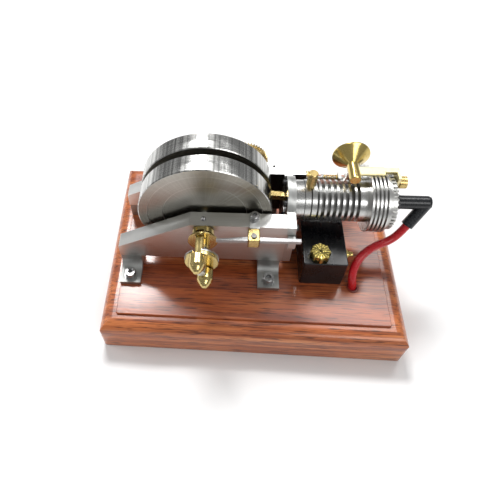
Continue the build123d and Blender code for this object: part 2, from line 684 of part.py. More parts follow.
def carb_block():
    """Mixer body saddled on the head fins, with an arm in front of the ring for the needle."""
    x0, x1, y0, y1, z0, z1 = CARB
    body = block(x0, x1, y0, y1, z0, z1)
    body = fillet(body.edges().filter_by(Axis.X), 0.8)
    a0, a1 = NEEDLE_ARM
    body += block(x1 - 1, a1, y1 - 3.5, y1, z1 - 3.2, z1 - 0.8)
    body += block(a0, a1, NEEDLE_Y - 2.6, y1, NEEDLE_Z - 2.5, z1 - 0.8)
    body -= bar_x(x0 - 1, HEAD_END + 0.3, CENTRE_Y, AXIS_Z, HEAD_R + 0.02)
    body -= bar_y(*BARREL_ENDS, BARREL_X, BARREL_Z, BARREL_R)
    return body - bar_x(a0 - 1, a1 + 1, NEEDLE_Y, NEEDLE_Z, 1.04)


def carb_barrel():
    body = bar_y(*BARREL_ENDS, BARREL_X, BARREL_Z, BARREL_R)
    body = chamfer(body.edges().filter_by(GeomType.CIRCLE).group_by(Axis.Y)[0], 0.4)
    return body - bar_y(BELL_BACK, BARREL_ENDS[1] + 1, BARREL_X, BARREL_Z, NECK_OUT_R)


def bell_mouth():
    """Flared air intake opening toward +Y, with a thin wall."""
    outer = [(0, NECK_OUT_R), (2.0, NECK_OUT_R), (3.0, 2.4), (9.4, 10.3), (10.0, 11.0), (10.7, 11.0)]
    inner = [(10.7, 10.4), (9.9, 10.0), (3.4, 1.6), (0, 1.6)]
    return turned_y([(BELL_BACK + y, r) for y, r in outer + inner], BARREL_X, BARREL_Z)


save("carb_block", carb_block())
save("carb_barrel", carb_barrel())
save("bell_mouth", bell_mouth())


def needle_screw():
    x0, x1 = NEEDLE_ARM[0], NEEDLE_ARM[1] + 0.2
    body = bar_x(x0, x1, NEEDLE_Y, NEEDLE_Z, 1.0) + bar_x(x1, x1 + 4.1, NEEDLE_Y, NEEDLE_Z, 3.7)
    flutes = 20
    for i in range(flutes):
        a = 2 * math.pi * i / flutes
        body -= bar_x(x1 - 1, x1 + 5, NEEDLE_Y + 3.85 * math.cos(a), NEEDLE_Z + 3.85 * math.sin(a), 0.35)
    return body


save("needle_screw", needle_screw())

# ---- oil cup on the cylinder --------------------------------------------------------
OIL_CUP_TOP = 92.0


def oil_cup():
    low = AXIS_Z + BORE_R + 1.0
    seat = AXIS_Z + FIN_R
    body = turned_z([(low, 0), (low, 1.5), (seat, 1.5), (seat, 2.3), (seat + 1.2, 2.3), (seat + 2.2, 2.9),
                     (OIL_CUP_TOP - 0.6, 2.9), (OIL_CUP_TOP, 2.6), (OIL_CUP_TOP, 0)], OIL_CUP_X, CENTRE_Y)
    return body - bar_z(seat + 2.6, OIL_CUP_TOP + 1, OIL_CUP_X, CENTRE_Y, 2.1)


def oil_cup_lid():
    z = OIL_CUP_TOP + 0.15
    lid = bar_z(z, z + 1.6, OIL_CUP_X, CENTRE_Y, 2.8)
    lid = chamfer(lid.edges().filter_by(GeomType.CIRCLE).group_by(Axis.Z)[-1], 0.4)
    return lid + bar_y(CENTRE_Y - 1.6, CENTRE_Y + 1.6, OIL_CUP_X - 3.3, z + 0.8, 0.8)


save("oil_cup", oil_cup())
save("oil_cup_lid", oil_cup_lid())

# ---- piston and connecting rod ------------------------------------------------------
PISTON_GAP = 0.04
PISTON_FRONT = 9.0          # crown ahead of the wrist pin
PISTON_SKIRT = 8.0
WRIST_R = 2.0
RING_T = 1.0
ROD_T = 4.0
BIG_END_R = 5.4
CRANK_PIN_R = 3.0


def piston():
    x0, x1 = WRIST_X - PISTON_SKIRT, WRIST_X + PISTON_FRONT
    body = bar_x(x0, x1, CENTRE_Y, AXIS_Z, BORE_R - PISTON_GAP)
    body -= bar_x(x0 - 1, WRIST_X + 4.4, CENTRE_Y, AXIS_Z, BORE_R - 1.6)
    for ring_x in (x1 - 2.4, x1 - 4.4):
        groove = bar_x(ring_x, ring_x + RING_T, CENTRE_Y, AXIS_Z, BORE_R + 1)
        body -= groove - bar_x(ring_x - 1, ring_x + 3, CENTRE_Y, AXIS_Z, BORE_R - 0.8)
    boss = bar_y(CENTRE_Y - BORE_R + 0.8, CENTRE_Y + BORE_R - 0.8, WRIST_X, AXIS_Z, WRIST_R + 1.2)
    boss -= block(WRIST_X - 9, WRIST_X + 9, CENTRE_Y - ROD_T / 2 - 0.4, CENTRE_Y + ROD_T / 2 + 0.4,
                  AXIS_Z - 9, AXIS_Z + 9)
    body += boss & bar_x(x0, x1, CENTRE_Y, AXIS_Z, BORE_R - 1.0)
    return body - bar_y(CENTRE_Y - 9, CENTRE_Y + 9, WRIST_X, AXIS_Z, WRIST_R)


def piston_rings():
    x1 = WRIST_X + PISTON_FRONT
    for ring_x in (x1 - 2.4, x1 - 4.4):
        ring = bar_x(ring_x + 0.05, ring_x + RING_T - 0.05, CENTRE_Y, AXIS_Z, BORE_R - 0.01)
        yield ring - bar_x(ring_x - 1, ring_x + 3, CENTRE_Y, AXIS_Z, BORE_R - 0.7)


def connecting_rod():
    y0, y1 = CENTRE_Y - ROD_T / 2, CENTRE_Y + ROD_T / 2
    dx, dz = WRIST_X - PIN_X, AXIS_Z - PIN_Z
    length = math.hypot(dx, dz)
    ux, uz = dx / length, dz / length

    def along(distance, offset):
        return PIN_X + ux * distance - uz * offset, PIN_Z + uz * distance + ux * offset
    shank = plate_xz([along(4, 2.3), along(length - 3, 1.5), along(length - 3, -1.5), along(4, -2.3)], y0 + 0.2, y1 - 0.2)
    body = bar_y(y0, y1, PIN_X, PIN_Z, BIG_END_R) + bar_y(y0, y1, WRIST_X, AXIS_Z, WRIST_R + 1.4) + shank
    body -= bar_y(y0 - 1, y1 + 1, PIN_X, PIN_Z, CRANK_PIN_R)
    return body - bar_y(y0 - 1, y1 + 1, WRIST_X, AXIS_Z, WRIST_R + 0.04)


save("piston", piston())
group("piston_rings", piston_rings())
save("wrist_pin", bar_y(CENTRE_Y - BORE_R + 1.3, CENTRE_Y + BORE_R - 1.3, WRIST_X, AXIS_Z, WRIST_R))
save("connecting_rod", connecting_rod())
save("crank_pin", bar_y(CENTRE_Y - ROD_T / 2 - 0.25, CENTRE_Y + ROD_T / 2 + 0.25, PIN_X, PIN_Z, CRANK_PIN_R))

# ---- exhaust valve gear on the rear side --------------------------------------------
PUSH_Y = CAM_LOBE_Y + CAM_LOBE_T / 2
PUSH_Z = AXIS_Z - 10.8
PUSH_R = 1.3
PUSH_START = CAM_X + CAM_BASE_R + CAM_LIFT + 0.3
PUSH_COLLAR_X = 45.5
GUIDE_X = (13.4, 19.3)
ROCKER_PIVOT = (62.2, 24.5)
ROCKER_HALF = 1.7           # half thickness of the rocker arms
ROCKER_T = 4.8              # height of each rocker arm
ROCKER_LOW = PUSH_Z - ROCKER_T / 2
ROCKER_HIGH = AXIS_Z + ROCKER_T / 2
ROCKER_PIN_R = 1.5
CHEEK_T = 2.6
CHEEK_GAP = 0.2
STOP_X = (56.0, 58.0)       # upright that holds the pushrod spring
PUSH_END = ROCKER_PIVOT[0] - ROCKER_HALF - 0.3
VALVE_TIP = 28.4
SPRING_SEAT = VALVE_TIP - 2.4


def pushrod():
    """Rod with a tall foot behind the cam, a spring collar and a rounded end."""
    body = block(PUSH_START, PUSH_START + 2.5, PUSH_Y - 1.5, PUSH_Y + 1.5, PUSH_Z - 2.0, AXIS_Z + 2.2)
    body += bar_x(PUSH_START + 2.5, PUSH_END - PUSH_R, PUSH_Y, PUSH_Z, PUSH_R)
    body += bar_x(PUSH_COLLAR_X, PUSH_COLLAR_X + 1.2, PUSH_Y, PUSH_Z, 2.4)
    return body + Pos(PUSH_END - PUSH_R, PUSH_Y, PUSH_Z) * Sphere(PUSH_R)


def pushrod_spring():
    x0, x1 = PUSH_COLLAR_X + 1.3, STOP_X[0] - 0.1
    return bar_x(x0, x1, PUSH_Y, PUSH_Z, 2.3) - bar_x(x0 - 1, x1 + 1, PUSH_Y, PUSH_Z, PUSH_R + 0.2)


def pushrod_guide():
    x0, x1 = GUIDE_X
    body = block(x0, x1, REAR_OUT, PUSH_Y + 3.4, PUSH_Z - 4, PUSH_Z + 4)
    return body - bar_x(x0 - 1, x1 + 1, PUSH_Y, PUSH_Z, PUSH_R + 0.05)


def rocker_arm():
    """Bell crank: the low arm takes the pushrod, the high one presses the valve stem."""
    x, y = ROCKER_PIVOT
    near, far = VALVE_TIP + 0.3, VALVE_TIP + 0.3 + 2 * ROCKER_HALF
    body = bar_z(ROCKER_LOW, ROCKER_HIGH, x, y, 3.2)
    body += block(x - ROCKER_HALF, x + ROCKER_HALF, y, PUSH_Y + 2.2, ROCKER_LOW, ROCKER_LOW + ROCKER_T)
    body += block(x - ROCKER_HALF, x + ROCKER_HALF, y, far, ROCKER_HIGH - ROCKER_T, ROCKER_HIGH)
    body += block(x, VALVE_X + 2.2, near, far, ROCKER_HIGH - ROCKER_T, ROCKER_HIGH)
    return body - bar_z(ROCKER_LOW - 1, ROCKER_HIGH + 1, x, y, ROCKER_PIN_R + 0.04)


def rocker_bracket():
    """Fork screwed to the collar of the cylinder, with a shelf that holds the pushrod spring."""
    x, y = ROCKER_PIVOT
    low, high = ROCKER_LOW - CHEEK_GAP - CHEEK_T, ROCKER_HIGH + CHEEK_GAP
    end = HEAD_X - 0.3
    body = block(COLLAR_X + 0.2, end, CENTRE_Y + 10, y - 4.4, low, high + CHEEK_T)
    body -= bar_x(COLLAR_X - 1, HEAD_X + 1, CENTRE_Y, AXIS_Z, FIN_R)
    for z in (low, high):
        body += block(x - 3.0, end, y - 5.0, y, z, z + CHEEK_T) + bar_z(z, z + CHEEK_T, x, y, 3.0)
    body += block(STOP_X[0], x, y - 2, PUSH_Y + 3, low, low + 2.2)
    body += block(*STOP_X, PUSH_Y - 3, PUSH_Y + 3, low, PUSH_Z + 3)
    body -= bar_x(STOP_X[0] - 1, STOP_X[1] + 1, PUSH_Y, PUSH_Z, PUSH_R + 0.05)
    return body - bar_z(low - 1, high + CHEEK_T + 1, x, y, ROCKER_PIN_R)


def exhaust_valve():
    inner = CENTRE_Y + 5.6
    return turned_y([(inner, 0), (inner, 2.3), (inner + 0.8, 2.3), (inner + 1.6, VALVE_STEM_R),
                     (SPRING_SEAT, VALVE_STEM_R), (SPRING_SEAT, 2.6), (SPRING_SEAT + 1.1, 2.6),
                     (SPRING_SEAT + 1.1, VALVE_STEM_R), (VALVE_TIP - 0.3, VALVE_STEM_R), (VALVE_TIP, 0.6),
                     (VALVE_TIP, 0)], VALVE_X, VALVE_Z)


def exhaust_spring():
    y0, y1 = VALVE_CAGE_END + 0.1, SPRING_SEAT - 0.1
    return bar_y(y0, y1, VALVE_X, VALVE_Z, 2.3) - bar_y(y0 - 1, y1 + 1, VALVE_X, VALVE_Z, 1.5)


save("pushrod", pushrod())
save("pushrod_spring", pushrod_spring())
save("pushrod_guide", pushrod_guide())
save("rocker_arm", rocker_arm())
save("rocker_bracket", rocker_bracket())
save("exhaust_valve", exhaust_valve())
save("exhaust_spring", exhaust_spring())

# ---- governor on the front of the crank ---------------------------------------------
HUB_BACK = FRONT_OUT - 1.2
HUB_T = 3.0
HUB_R = 6.6
EAR_Y = HUB_BACK - HUB_T - 1.2
ARM_OFFSET = 5.2            # arm pivots from the crank axis
ARM_HALF_T = 1.3
ARM_HALF_W = 2.2
EAR_T = 1.2
WEIGHT_TILT = 15.0
WEIGHT_OFFSET = 8.0
WEIGHT_R = 4.7
GOV_DISC_BACK = -42.6
GOV_DISC_T = 2.2
GOV_DISC_R = 9.5
SPOOL_BACK = EAR_Y - 1.4
SPOOL_FLANGE_R = 8.8
SPOOL_FLANGE_T = 0.9
SPOOL_SLEEVE_R = 3.4
SPOOL_FRONT = SPOOL_BACK - 6.6


def tilted(shape):
    """Turn a governor part from upright to the resting angle of the crank."""
    return around_y(shape, CRANK_X, AXIS_Z, -WEIGHT_TILT)


def governor_hub():
    body = bar_y(HUB_BACK - HUB_T, HUB_BACK, CRANK_X, AXIS_Z, HUB_R)
    for side in (-1, 1):
        z = AXIS_Z + side * ARM_OFFSET
        half = ARM_HALF_W + 0.3
        for x in (CRANK_X - half - EAR_T, CRANK_X + half):
            body += block(x, x + EAR_T, EAR_Y - 1.2, HUB_BACK - 0.2, z - 1.6, z + 1.6)
        body -= block(CRANK_X - half, CRANK_X + half, EAR_Y - 3, EAR_Y + 1.7, z - 2.7, z + 2.7)
        body -= bar_x(CRANK_X - 5, CRANK_X + 5, EAR_Y, z, 0.8)
    return tilted(body - bar_y(HUB_BACK - 9, HUB_BACK + 1, CRANK_X, AXIS_Z, SHAFT_R))


def governor_weight(side):
    pivot_z = AXIS_Z + side * ARM_OFFSET
    z = AXIS_Z + side * WEIGHT_OFFSET
    back = GOV_DISC_BACK - GOV_DISC_T - 0.5
    arm = block(CRANK_X - ARM_HALF_W, CRANK_X + ARM_HALF_W, back - 1, EAR_Y, pivot_z - ARM_HALF_T, pivot_z + ARM_HALF_T)
    knuckle = bar_x(CRANK_X - ARM_HALF_W, CRANK_X + ARM_HALF_W, EAR_Y, pivot_z, ARM_HALF_T)
    toe = block(CRANK_X - ARM_HALF_W, CRANK_X + ARM_HALF_W, EAR_Y - 1.2, EAR_Y + 0.6,
                *sorted((pivot_z, AXIS_Z + side * (SHAFT_R + 0.3))))
    mass = turned_y([(back, 0), (back, WEIGHT_R - 0.4), (back - 0.5, WEIGHT_R), (back - 6.6, WEIGHT_R),
                     (back - 8.4, 3.9), (back - 10.1, 2.6), (back - 11.1, 1.5), (back - 11.3, 0)], CRANK_X, z)
    return tilted(arm + knuckle + toe + mass - bar_x(CRANK_X - 5, CRANK_X + 5, EAR_Y, pivot_z, 0.85))


def governor_pins():
    for side in (-1, 1):
        yield tilted(bar_x(CRANK_X - 4.4, CRANK_X + 4.4, EAR_Y, AXIS_Z + side * ARM_OFFSET, 0.8))


def governor_spool():
    """Sliding sleeve whose flange has a closed window round each weight arm."""
    body = bar_y(SPOOL_BACK - SPOOL_FLANGE_T, SPOOL_BACK, CRANK_X, AXIS_Z, SPOOL_FLANGE_R)
    for side in (-1, 1):
        low, high = sorted((AXIS_Z + side * SHAFT_R, AXIS_Z + side * 7.6))
        body -= block(CRANK_X - ARM_HALF_W - 0.3, CRANK_X + ARM_HALF_W + 0.3, SPOOL_BACK - 2, SPOOL_BACK + 1, low, high)
    body += bar_y(SPOOL_FRONT, SPOOL_BACK, CRANK_X, AXIS_Z, SPOOL_SLEEVE_R)
    return tilted(body - bar_y(SPOOL_FRONT - 1, SPOOL_BACK + 1, CRANK_X, AXIS_Z, SHAFT_R + 0.05))


def slotted_disc(y0, y1, r, bore_r):
    """Disc on the crank nose with an open slot for each weight arm."""
    body = bar_y(y0, y1, CRANK_X, AXIS_Z, r) - bar_y(y0 - 1, y1 + 1, CRANK_X, AXIS_Z, bore_r)
    for side in (-1, 1):
        low, high = sorted((AXIS_Z + side * (ARM_OFFSET - ARM_HALF_T - 0.4), AXIS_Z + side * (r + 1)))
        body -= block(CRANK_X - ARM_HALF_W - 0.4, CRANK_X + ARM_HALF_W + 0.4, y0 - 1, y1 + 1, low, high)
    return tilted(body)


def governor_spring():
    y0, y1 = GOV_DISC_BACK + 0.8, SPOOL_FRONT - 0.1
    return bar_y(y0, y1, CRANK_X, AXIS_Z, SPOOL_SLEEVE_R) - bar_y(y0 - 1, y1 + 1, CRANK_X, AXIS_Z, SHAFT_R + 0.15)


save("governor_hub", governor_hub())
save("governor_weight_upper", governor_weight(1))
save("governor_weight_lower", governor_weight(-1))
group("governor_pins", governor_pins())
save("governor_spool", governor_spool())
save("governor_disc", slotted_disc(GOV_DISC_BACK - GOV_DISC_T, GOV_DISC_BACK, GOV_DISC_R, SHAFT_R))
save("governor_washer", slotted_disc(GOV_DISC_BACK, GOV_DISC_BACK + 0.7, GOV_DISC_R + 0.4, SHAFT_R))
save("governor_spring", governor_spring())

# ---- governor lever on the front plate ----------------------------------------------
LEVER_Z = 72.2
LEVER_PIVOT = (-0.6, -30.0)
LEVER_TIP_X = CRANK_X + 7.8
LEVER_END_X = 26.4
BLOCK_LOW = 69.5
BLOCK_TOP = 76.0
STRIP_END = -24.4
LEVER_PIN_R = 1.0
BLOCK_FRONT = -33.2


def lever_strip():
    x = LATCH_SCREW_X
    strip = block(x - 2.9, x + 2.9, STRIP_END, LATCH_SCREW_Y + 3.4, PLATE_TOP, PLATE_TOP + 1.5)
    return strip - bar_z(PLATE_TOP - 1, PLATE_TOP + 3, x, LATCH_SCREW_Y, 1.5)


def lever_block():
    x, y = LEVER_PIVOT
    body = block(x - 3.4, x + 3.4, BLOCK_FRONT, STRIP_END, BLOCK_LOW, BLOCK_TOP)
    body = chamfer(body.edges().filter_by(Axis.Z), 0.6)
    body = chamfer(body.faces().sort_by(Axis.Z)[-1].edges(), 0.4)
    body -= block(x - 9, x + 9, y - 2.0, y + 1.9, LEVER_Z - 1.6, LEVER_Z + 1.6)
    return body - bar_z(BLOCK_LOW - 1, BLOCK_TOP + 1, x, y, LEVER_PIN_R)


def lever_pin():
    """Pivot pin of the governor lever with a small hexagon head."""
    x, y = LEVER_PIVOT
    return bar_z(BLOCK_LOW, BLOCK_TOP, x, y, LEVER_PIN_R) + extrude(Pos(x, y, BLOCK_TOP) * RegularPolygon(1.7, 6), 1.0)


def governor_lever():
    x, y = LEVER_PIVOT
    half = 1.3
    outline = [(LEVER_TIP_X, y - 1.7), (x - 5, y - half), (x + 5, y - half), (LEVER_END_X, y - 1.0),
               (LEVER_END_X, y + 0.9), (x + 5, y + half), (x - 5, y + half),
               (LEVER_TIP_X + 2.4, y - 0.5), (LEVER_TIP_X, y - 0.5)]
    body = plate_xy(outline, LEVER_Z - 1.2, LEVER_Z + 1.2)
    return body - bar_z(LEVER_Z - 3, LEVER_Z + 3, x, y, 1.04)


save("lever_strip", lever_strip())
save("lever_block", lever_block())
rocker_pin = bar_z(ROCKER_LOW - 3.2, ROCKER_HIGH + 3.2, *ROCKER_PIVOT, ROCKER_PIN_R)
group("hinge_pins", [lever_pin(), rocker_pin])
save("lever_screw", Pos(LATCH_SCREW_X, LATCH_SCREW_Y, PLATE_TOP + 1.5) * cap_screw(1.5, 8.0, 2.75, 3.0, 1.35))
save("governor_lever", governor_lever())
save("latch_block", fillet(block(20.0, CROSS_RIGHT, FRONT_OUT - 5.4, FRONT_OUT, 60.4, 67.4).edges().filter_by(
    Axis.X), 1.0))

# ---- export -------------------------------------------------------------------------
os.makedirs("parts", exist_ok=True)
for name, shape in parts.items():
    export_step(shape, f"parts/{name}.step")
print(len(parts), "nodes")
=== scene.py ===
import math

import bmesh
import bpy
from mathutils import Matrix, Vector


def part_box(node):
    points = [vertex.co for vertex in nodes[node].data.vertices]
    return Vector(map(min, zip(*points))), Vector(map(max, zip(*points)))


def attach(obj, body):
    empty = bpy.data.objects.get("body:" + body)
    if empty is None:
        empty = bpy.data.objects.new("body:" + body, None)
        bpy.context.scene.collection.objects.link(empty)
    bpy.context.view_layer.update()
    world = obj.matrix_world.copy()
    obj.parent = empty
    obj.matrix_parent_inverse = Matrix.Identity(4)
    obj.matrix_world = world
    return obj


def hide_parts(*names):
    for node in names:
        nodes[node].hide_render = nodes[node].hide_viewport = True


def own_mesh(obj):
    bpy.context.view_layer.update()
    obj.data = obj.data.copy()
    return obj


# Looks of a small horizontal engine on a wooden base. Sizes are in metres.
MM = 0.001

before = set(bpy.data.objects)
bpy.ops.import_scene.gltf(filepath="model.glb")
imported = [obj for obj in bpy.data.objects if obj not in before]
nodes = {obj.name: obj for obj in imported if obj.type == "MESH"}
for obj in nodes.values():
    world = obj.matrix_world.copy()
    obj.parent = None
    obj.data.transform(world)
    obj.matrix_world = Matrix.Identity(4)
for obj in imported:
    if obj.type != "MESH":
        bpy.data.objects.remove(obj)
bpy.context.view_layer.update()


def centre(node):
    low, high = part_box(node)
    return (low + high) / 2


CRANK = centre("front_flywheel")
AXIS_Y = centre("cylinder").y
AXIS_Z = CRANK.z
WHEEL_R = (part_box("front_flywheel")[1].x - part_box("front_flywheel")[0].x) / 2
PANEL_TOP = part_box("wood_base")[1].z
FIN_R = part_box("cylinder")[1].z - AXIS_Z
STEP_HIGHLIGHT_RADII = (25.7 * MM, 35.2 * MM)     # radii of the painted highlight lines along the steps on the flywheel faces
CAP_GROOVES = 16.0
FLOOR_GAP = 0.0002                      # the floor lies this far under the base
WORLD_STRENGTH = 0.30
POINTS_PER_TURN = 16
END_TURNS = 0.8                         # closed turns at each end of a spring


# ---- camera -------------------------------------------------------------------------
def make_camera():
    data = bpy.data.cameras.new("camera")
    data.sensor_width = 36.0
    data.lens = 34.74
    data.shift_x = 0.1422
    data.shift_y = -0.0648
    data.clip_start = 0.01
    camera = bpy.data.objects.new("camera", data)
    bpy.context.scene.collection.objects.link(camera)
    right = Vector((0.99503, 0.08082, -0.05812))
    upward = Vector((-0.02980, 0.79889, 0.60073))
    back = right.cross(upward)
    turn = Matrix((right, upward, back)).transposed().to_4x4()
    camera.matrix_world = Matrix.Translation((-0.017405, -0.189130, 0.304621)) @ turn
    bpy.context.scene.camera = camera


make_camera()


# ---- material helpers ---------------------------------------------------------------
class Look:
    """A node material: short calls that add a node, link it and give back its output."""

    def __init__(self, name, **fixed):
        self.material = bpy.data.materials.new(name)
        self.material.use_nodes = True
        self.tree = self.material.node_tree
        self.shader = self.tree.nodes["Principled BSDF"]
        for socket, value in fixed.items():
            self.shader.inputs[socket.replace("_", " ")].default_value = value
        self.place = self.tree.nodes.new("ShaderNodeTexCoord").outputs["Object"]

    def put(self, socket, value):
        """Link an output to a socket, or set the socket to a constant."""
        if hasattr(value, "is_linked"):
            self.tree.links.new(value, socket)
        else:
            socket.default_value = value

    def add(self, kind, output, settings=(), **inputs):
        made = self.tree.nodes.new(kind)
        for key, value in dict(settings).items():
            setattr(made, key, value)
        for key, value in inputs.items():
            self.put(made.inputs[key.replace("_", " ")], value)
        return made.outputs[output]

    def math(self, operation, a, b=0.0):
        made = self.tree.nodes.new("ShaderNodeMath")
        made.operation = operation
        self.put(made.inputs[0], a)
        self.put(made.inputs[1], b)
        return made.outputs[0]

    def scaled(self, factors):
        return self.add("ShaderNodeMapping", "Vector", Vector=self.place, Scale=factors)

    def noise(self, factors, detail=3.0, roughness=0.55, distortion=0.0):
        return self.add("ShaderNodeTexNoise", "Fac", Vector=self.scaled(factors), Scale=1.0, Detail=detail,
                        Roughness=roughness, Distortion=distortion)

    def split(self):
        """The X, Y and Z of a point, in the shared frame at rest."""
        made = self.tree.nodes.new("ShaderNodeSeparateXYZ")
        self.put(made.inputs[0], self.place)
        return made.outputs

    def ramp(self, factor, stops):
        made = self.tree.nodes.new("ShaderNodeValToRGB")
        self.put(made.inputs[0], factor)
        while len(made.color_ramp.elements) < len(stops):
            made.color_ramp.elements.new(0.5)
        for element, (position, colour) in zip(made.color_ramp.elements, stops):
            element.position = position
            element.color = (*colour, 1.0)
        return made.outputs["Color"]

    def blend(self, factor, a, b, mode="MIX"):
        """Colour a with colour b laid over it by a factor."""
        made = self.tree.nodes.new("ShaderNodeMix")
        made.data_type = "RGBA"
        made.blend_type = mode
        for index, value in ((0, factor), (6, a), (7, b)):
            if isinstance(value, tuple) and len(value) == 3:
                value = (*value, 1.0)
            self.put(made.inputs[index], value)
        return made.outputs[2]

    def span(self, value, low, high, to_low=0.0, to_high=1.0):
        """Map low..high to to_low..to_high, held at both ends."""
        made = self.tree.nodes.new("ShaderNodeMapRange")
        for index, number in ((0, value), (1, low), (2, high), (3, to_low), (4, to_high)):
            self.put(made.inputs[index], number)
        return made.outputs[0]

    def radius_about(self, first, level, z):
        """Distance from a level line: along Y with first=0, along X with first=1."""
        parts = self.split()
        side = self.math("SUBTRACT", parts[first], level)
        rise = self.math("SUBTRACT", parts["Z"], z)
        squares = [self.math("MULTIPLY", side, side), self.math("MULTIPLY", rise, rise)]
        return self.math("SQRT", self.math("ADD", *squares))

    def colour(self, value):
        self.put(self.shader.inputs["Base Color"], value)

    def rough(self, value):
        self.put(self.shader.inputs["Roughness"], value)

    def bump(self, height, distance, strength=1.0):
        self.put(self.shader.inputs["Normal"],
                 self.add("ShaderNodeBump", "Normal", Height=height, Distance=distance, Strength=strength))


def srgb(r, g, b):
    """Linear colour from screen values of 0 to 255."""
    return tuple((c / 255 / 12.92) if c <= 10 else ((c / 255 + 0.055) / 1.055) ** 2.4 for c in (r, g, b))


# ---- materials ----------------------------------------------------------------------
def wood():
    """Lacquered hardwood, grain along X, a redder panel inside the moulding."""
    look = Look("lacquered_wood", Coat_Weight=0.55, Coat_Roughness=0.13, Coat_IOR=1.45)
    broad = look.noise((9, 70, 70), detail=4, distortion=0.7)
    rings = look.noise((5, 260, 260), detail=5, roughness=0.65, distortion=1.2)
    pores = look.noise((75, 1200, 1200), detail=2, roughness=0.5)
    fleck = look.noise((160, 900, 900), detail=3, roughness=0.7)
    body = look.ramp(broad, [(0.28, srgb(158, 78, 36)), (0.5, srgb(198, 112, 60)), (0.74, srgb(222, 144, 86))])
    body = look.blend(look.span(rings, 0.44, 0.62, 0.0, 0.7), body, srgb(118, 48, 22))
    body = look.blend(look.span(pores, 0.54, 0.68, 0.0, 0.8), body, srgb(58, 22, 11))
    body = look.blend(look.span(fleck, 0.60, 0.78, 0.0, 0.32), body, srgb(224, 148, 98))
    height = look.split()["Z"]
    panel = look.span(height, PANEL_TOP - 1.7 * MM, PANEL_TOP - 1.5 * MM)
    body = look.blend(look.math("MULTIPLY", panel, 0.4), body, srgb(182, 92, 76), mode="MULTIPLY")
    look.colour(body)
    look.rough(look.span(fleck, 0.3, 0.8, 0.34, 0.5))
    look.bump(pores, 0.05 * MM, 0.5)
    return look.material


def brushed(name, tone, along="x", rough=0.3, streak=0.25):
    """Metal plate with fine brush marks along one axis."""
    look = Look(name, Metallic=1.0, Anisotropic=0.35)
    factors = {"x": (25, 2600, 2600), "y": (2600, 25, 2600)}[along]
    marks = look.noise(factors, detail=3, roughness=0.7)
    patches = look.noise((45, 45, 45), detail=3)
    shade = look.blend(look.span(marks, 0.3, 0.7, 0.0, streak), tone, tuple(c * 0.55 for c in tone))
    shade = look.blend(look.span(patches, 0.4, 0.7, 0.0, 0.2), shade, tuple(c * 0.75 for c in tone))
    look.colour(shade)
    look.rough(look.math("ADD", look.span(marks, 0.3, 0.7, rough - 0.06, rough + 0.10),
                         look.span(patches, 0.35, 0.7, 0.0, 0.06)))
    look.bump(marks, 0.02 * MM, 0.35)
    return look.material


def turned(name, tone, x, z, rough=0.24, pitch=2600, streak=0.3):
    """Metal turned about a line parallel to Y: fine rings on the faces."""
    look = Look(name, Metallic=1.0, Anisotropic=0.3)
    radius = look.radius_about(0, x, z)
    rings = look.add("ShaderNodeTexNoise", "Fac", {"noise_dimensions": "1D"}, W=look.math("MULTIPLY", radius, pitch),
                     Scale=1.0, Detail=3.0, Roughness=0.65)
    smudge = look.noise((60, 60, 60), detail=4, roughness=0.6)
    shade = look.blend(look.span(rings, 0.3, 0.7, 0.0, streak), tone, tuple(c * 0.5 for c in tone))
    shade = look.blend(look.span(smudge, 0.42, 0.72, 0.0, 0.3), shade, tuple(c * 0.7 for c in tone))
    look.colour(shade)
    look.rough(look.math("ADD", look.span(rings, 0.3, 0.7, rough - 0.05, rough + 0.1),
                         look.span(smudge, 0.4, 0.7, 0.0, 0.07)))
    look.bump(rings, 0.03 * MM, 0.5)
    return look.material


